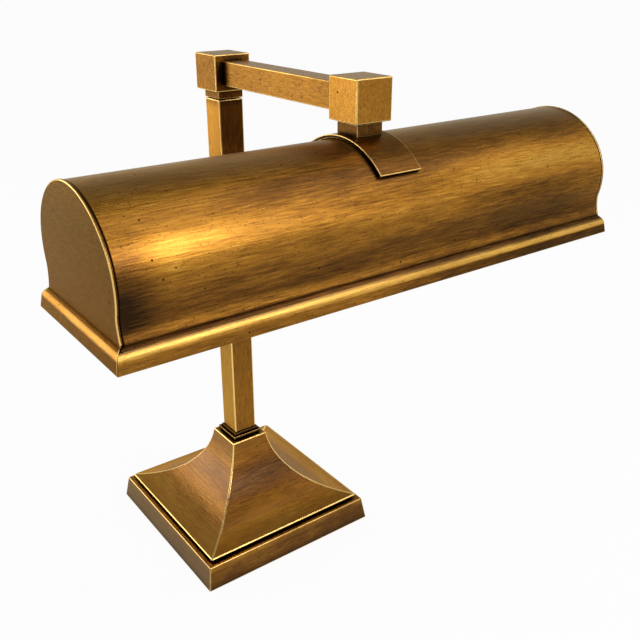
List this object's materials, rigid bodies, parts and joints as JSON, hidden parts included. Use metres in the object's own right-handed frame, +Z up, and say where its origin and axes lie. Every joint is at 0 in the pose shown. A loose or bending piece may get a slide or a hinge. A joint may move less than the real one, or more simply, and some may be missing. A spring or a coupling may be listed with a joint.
{
  "type": "swing-arm bankers lamp",
  "caption": "Swing-arm bankers lamp in antique brass: concave square base, square post and arm, and a long ogee shade that swivels and tilts in a saddle over tubular bulbs.",
  "frame": {"origin": "centre of the felt pad's underside, on the table", "axes": "+Z up along the post, the arm reaching towards -Y at rest, +X along the shade"},
  "size_m": [0.3494, 0.2769, 0.3792],
  "materials": {
    "antique_brass": "brushed antique brass under lacquer, bright on the edges",
    "dark_brass": "darker antique brass",
    "steel": "plain zinc plated",
    "cast_iron": "as cast",
    "black_plastic": "moulded, fine grain",
    "flex_rubber": "smooth",
    "ivory_plastic": "plain",
    "felt": "felt",
    "glass": "frosted"
  },
  "bodies": {
    "base": {"felt_pad": "felt", "plinth": "dark_brass", "base_weight": "cast_iron", "clamp_washer": "steel", "clamp_nut": "steel", "base_nipple": "steel", "cord_bushing": "black_plastic", "pagoda_cover": "antique_brass", "collar": "dark_brass", "post_tube": "antique_brass", "post_foot_plug": "steel", "post_top_bush": "steel", "swing_stop_pin": "steel", "swing_glide": "ivory_plastic", "post_flex": "flex_rubber"},
    "arm": {"rear_neck": "dark_brass", "rear_block": "antique_brass", "swing_stud": "steel", "swing_spring_washer": "steel", "swing_lock_nut": "steel", "arm_tube": "antique_brass", "arm_flex": "flex_rubber", "grub_screws": "steel", "front_block": "antique_brass", "shade_stud": "steel", "shade_spring_washer": "steel", "shade_lock_nut": "steel"},
    "saddle": {"shade_glide": "ivory_plastic", "front_neck": "dark_brass", "saddle_strap": "antique_brass", "clamp_plate": "steel"},
    "shade": {"shade_shell": "antique_brass", "left_end_cap": "antique_brass", "right_end_cap": "antique_brass", "lampholder_bracket": "steel", "left_lampholder": "black_plastic", "right_lampholder": "black_plastic", "lampholder_nipples": "steel", "lampholder_nuts": "steel", "left_bulb": "glass", "right_bulb": "glass", "left_bulb_cap": "steel", "right_bulb_cap": "steel", "switch_body": "black_plastic", "switch_nut": "steel"},
    "knob": {"switch_spindle": "steel", "switch_knob": "black_plastic"}
  },
  "joints": [
    {"name": "arm_swing", "type": "hinge", "parent": "base", "child": "arm", "pos_m": [0, 0, 0.3496], "axis": [0, 0, 1], "range_deg": [-150, 150]},
    {"name": "shade_swivel", "type": "hinge", "parent": "arm", "child": "saddle", "pos_m": [0, -0.15, 0.3549], "axis": [0, 0, 1], "range_deg": [-60, 60]},
    {"name": "shade_tilt", "type": "hinge", "parent": "saddle", "child": "shade", "pos_m": [0, -0.15, 0.2988], "axis": [1, 0, 0], "range_deg": [-18, 18]},
    {"name": "switch_turn", "type": "hinge", "parent": "shade", "child": "knob", "pos_m": [0, -0.15, 0.3008], "axis": [0, 0, 1], "continuous": true}
  ]
}
